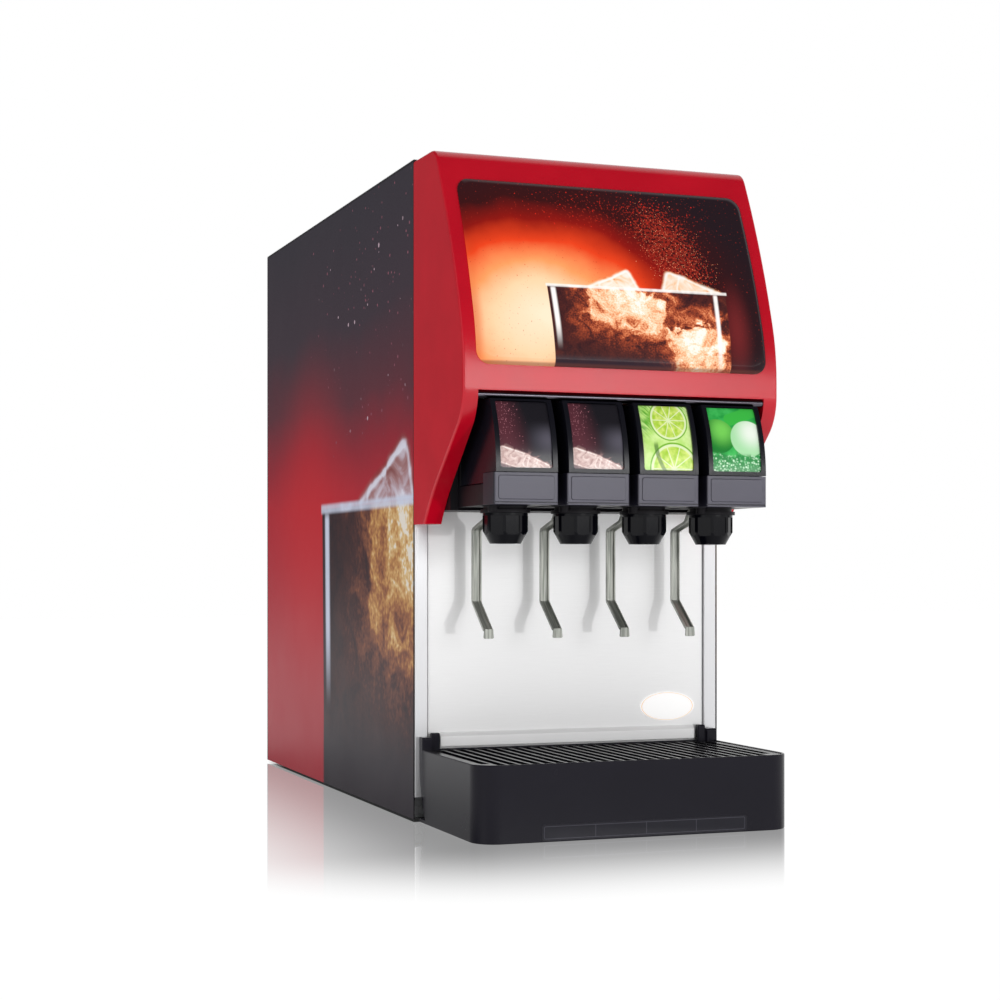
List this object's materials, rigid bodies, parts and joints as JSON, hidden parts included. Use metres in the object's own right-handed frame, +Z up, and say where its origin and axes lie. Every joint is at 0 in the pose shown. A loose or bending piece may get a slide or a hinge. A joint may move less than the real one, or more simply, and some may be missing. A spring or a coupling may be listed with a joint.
{
  "type": "fountain soda dispenser",
  "caption": "Countertop drink dispenser: tall cabinet, overhanging lit head, valves with nozzles and cup levers over a slatted drip tray.",
  "frame": {"origin": "bottom centre of the whole machine's box, on the counter", "axes": "+Z up, -Y towards the person filling a cup, +X to that person's right"},
  "size_m": [0.356, 0.88, 0.7],
  "materials": {
    "red_moulding": "glossy",
    "side_print": "printed film, satin",
    "casing_grey": "powder coat",
    "galvanised": "zinc coated",
    "splash_steel": "fine brushed",
    "bright_trim": "satin anodised",
    "sign_face": "printed, backlit, glossy",
    "lamp_white": "white reflector",
    "lamp": "lit",
    "housing_black": "fine grain",
    "valve_black": "satin",
    "panel_grey": "satin",
    "card_print": "printed film",
    "nozzle_black": "glossy",
    "diffuser_black": "matte",
    "lever_steel": "polished stainless",
    "bar_dark": "dark polished",
    "tray_black": "satin",
    "grille_black": "satin",
    "rubber_black": "matte",
    "zinc_screw": "zinc plated",
    "coil_black": "moulded coil",
    "pin_steel": "ground",
    "tank_white": "polyethylene",
    "foam": "closed-cell foam",
    "copper": "bare copper",
    "coil_steel": "stainless tube",
    "motor_grey": "painted",
    "compressor_black": "gloss black",
    "fin_aluminium": "mill finish",
    "fan_white": "moulded",
    "impeller_white": "moulded",
    "vessel_steel": "stainless",
    "box_grey": "powder coat",
    "module_black": "matte",
    "rocker_red": "translucent red",
    "stub_steel": "stainless"
  },
  "bodies": {
    "cabinet": {"side_panel_left": "side_print", "side_panel_right": "side_print", "back_panel": "casing_grey", "top_lid": "casing_grey", "base_pan": "galvanised", "rubber_feet": "rubber_black", "panel_screws": "zinc_screw", "splash_panel": "splash_steel", "splash_post_left": "bright_trim", "splash_post_right": "bright_trim", "splash_sill": "splash_steel", "head_shell": "red_moulding", "sign_lens": "sign_face", "sign_light_box": "lamp_white", "sign_led_strips": "lamp", "valve_apron": "housing_black", "valve_retaining_bar": "bar_dark", "flavour_cards": "card_print", "nozzle_diffusers": "diffuser_black", "valve_solenoids": "coil_black", "lever_pins": "pin_steel", "water_bath_tank": "tank_white", "tank_foam_jacket": "foam", "evaporator_coil": "copper", "product_coils": "coil_steel", "refrigeration_deck": "galvanised", "agitator_motor": "motor_grey", "compressor": "compressor_black", "condenser": "fin_aluminium", "fan_motor": "motor_grey", "carbonator_tank": "vessel_steel", "carbonator_pump": "motor_grey", "control_box": "box_grey", "mains_inlet": "module_black", "inlet_fittings": "stub_steel", "valve_body_1": "housing_black", "valve_cover_1": "valve_black", "access_panel_1": "panel_grey", "valve_body_2": "housing_black", "valve_cover_2": "valve_black", "access_panel_2": "panel_grey", "valve_body_3": "housing_black", "valve_cover_3": "valve_black", "access_panel_3": "panel_grey", "valve_body_4": "housing_black", "valve_cover_4": "valve_black", "access_panel_4": "panel_grey"},
    "tray": {"drip_tray": "tray_black"},
    "grille": {"drip_grille": "grille_black"},
    "agitator": {"agitator_impeller": "impeller_white"},
    "fan": {"fan_blade": "fan_white"},
    "rocker": {"rocker_switch": "rocker_red"},
    "nozzle_1": {"nozzle_1": "nozzle_black"},
    "lever_1": {"cup_lever_1": "lever_steel"},
    "nozzle_2": {"nozzle_2": "nozzle_black"},
    "lever_2": {"cup_lever_2": "lever_steel"},
    "nozzle_3": {"nozzle_3": "nozzle_black"},
    "lever_3": {"cup_lever_3": "lever_steel"},
    "nozzle_4": {"nozzle_4": "nozzle_black"},
    "lever_4": {"cup_lever_4": "lever_steel"}
  },
  "joints": [
    {"name": "lever_1_push", "type": "hinge", "parent": "cabinet", "child": "lever_1", "pos_m": [-0.1155, -0.328, 0.337], "axis": [1, 0, 0], "range_deg": [0, 10], "stiffness_Nm_per_rad": 0.8, "springref_deg": -5.73},
    {"name": "lever_2_push", "type": "hinge", "parent": "cabinet", "child": "lever_2", "pos_m": [-0.0385, -0.328, 0.337], "axis": [1, 0, 0], "range_deg": [0, 10], "stiffness_Nm_per_rad": 0.8, "springref_deg": -5.73},
    {"name": "lever_3_push", "type": "hinge", "parent": "cabinet", "child": "lever_3", "pos_m": [0.0385, -0.328, 0.337], "axis": [1, 0, 0], "range_deg": [0, 10], "stiffness_Nm_per_rad": 0.8, "springref_deg": -5.73},
    {"name": "lever_4_push", "type": "hinge", "parent": "cabinet", "child": "lever_4", "pos_m": [0.1155, -0.328, 0.337], "axis": [1, 0, 0], "range_deg": [0, 10], "stiffness_Nm_per_rad": 0.8, "springref_deg": -5.73},
    {"name": "nozzle_1_twist", "type": "hinge", "parent": "cabinet", "child": "nozzle_1", "pos_m": [-0.1155, -0.364, 0.32], "axis": [0, 0, 1], "range_deg": [0, 45]},
    {"name": "nozzle_2_twist", "type": "hinge", "parent": "cabinet", "child": "nozzle_2", "pos_m": [-0.0385, -0.364, 0.32], "axis": [0, 0, 1], "range_deg": [0, 45]},
    {"name": "nozzle_3_twist", "type": "hinge", "parent": "cabinet", "child": "nozzle_3", "pos_m": [0.0385, -0.364, 0.32], "axis": [0, 0, 1], "range_deg": [0, 45]},
    {"name": "nozzle_4_twist", "type": "hinge", "parent": "cabinet", "child": "nozzle_4", "pos_m": [0.1155, -0.364, 0.32], "axis": [0, 0, 1], "range_deg": [0, 45]},
    {"name": "tray_slide", "type": "slide", "parent": "cabinet", "child": "tray", "axis": [0, -1, 0], "range_m": [0, 0.15]},
    {"name": "grille_lift", "type": "slide", "parent": "tray", "child": "grille", "axis": [0, 0, 1], "range_m": [0, 0.06]},
    {"name": "fan_spin", "type": "hinge", "parent": "cabinet", "child": "fan", "pos_m": [0, 0.336, 0.52], "axis": [0, 1, 0], "continuous": true},
    {"name": "agitator_spin", "type": "hinge", "parent": "cabinet", "child": "agitator", "pos_m": [0, -0.029, 0.3], "axis": [0, 0, 1], "continuous": true},
    {"name": "rocker_tip", "type": "hinge", "parent": "cabinet", "child": "rocker", "pos_m": [-0.103, 0.414, 0.07], "axis": [1, 0, 0], "range_deg": [0, 16]}
  ]
}
